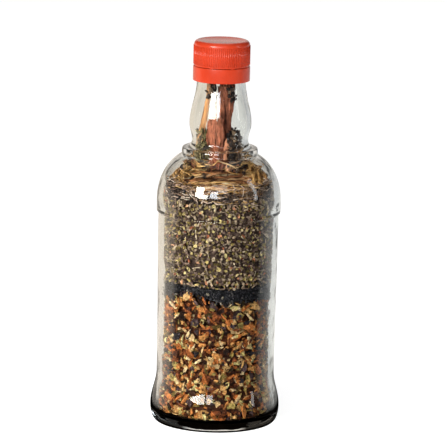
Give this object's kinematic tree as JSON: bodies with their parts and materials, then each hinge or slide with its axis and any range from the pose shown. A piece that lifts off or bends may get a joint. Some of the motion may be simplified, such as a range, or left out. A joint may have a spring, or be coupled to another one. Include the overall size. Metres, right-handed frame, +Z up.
{
  "type": "bottle of dried herbs and bark",
  "caption": "Clear glass bottle with a lantern neck and raised belt, packed with dried herb, bark and coiled vine, shut by a ribbed red screw cap with a tamper band.",
  "frame": {"origin": "centre of the circle that the bottle stands on", "axes": "+Z up along the bottle's axis, -Y to the front"},
  "size_m": [0.0688, 0.0688, 0.2049],
  "materials": {
    "bottle_glass": "smooth clear glass",
    "cap_red": "satin injection-moulded plastic",
    "bark_chips": "dry broken bark and leaf",
    "black_seeds": "matt black seed",
    "chopped_herb": "dry chopped herb",
    "vine": "dry fibrous vine",
    "red_bark": "dry fibrous bark",
    "dark_bark": "dry rough bark",
    "golden_wood": "dry peeled twig"
  },
  "bodies": {
    "root": {"bark_dark_head": "dark_bark", "bark_dark_knob": "dark_bark", "bark_dark_left": "dark_bark", "bark_dark_right": "dark_bark", "bark_red_left": "red_bark", "bark_red_right": "red_bark", "bark_stick_main": "red_bark", "bark_stick_short": "red_bark", "bark_strip_1": "red_bark", "bark_strip_2": "red_bark", "bark_strip_3": "red_bark", "bark_strip_4": "red_bark", "bark_strip_5": "red_bark", "coarse_mix": "bark_chips", "glass_bottle": "bottle_glass", "golden_twig": "golden_wood", "herb_mix": "chopped_herb", "screw_cap": "cap_red", "seed_bed": "black_seeds", "tamper_band": "cap_red", "vine_turn_1": "vine", "vine_turn_2": "vine", "vine_turn_3": "vine", "vine_turn_4": "vine", "vine_turn_5": "vine", "vine_turn_6": "vine", "vine_turn_7": "vine", "vine_turn_8": "vine"}
  },
  "joints": []
}
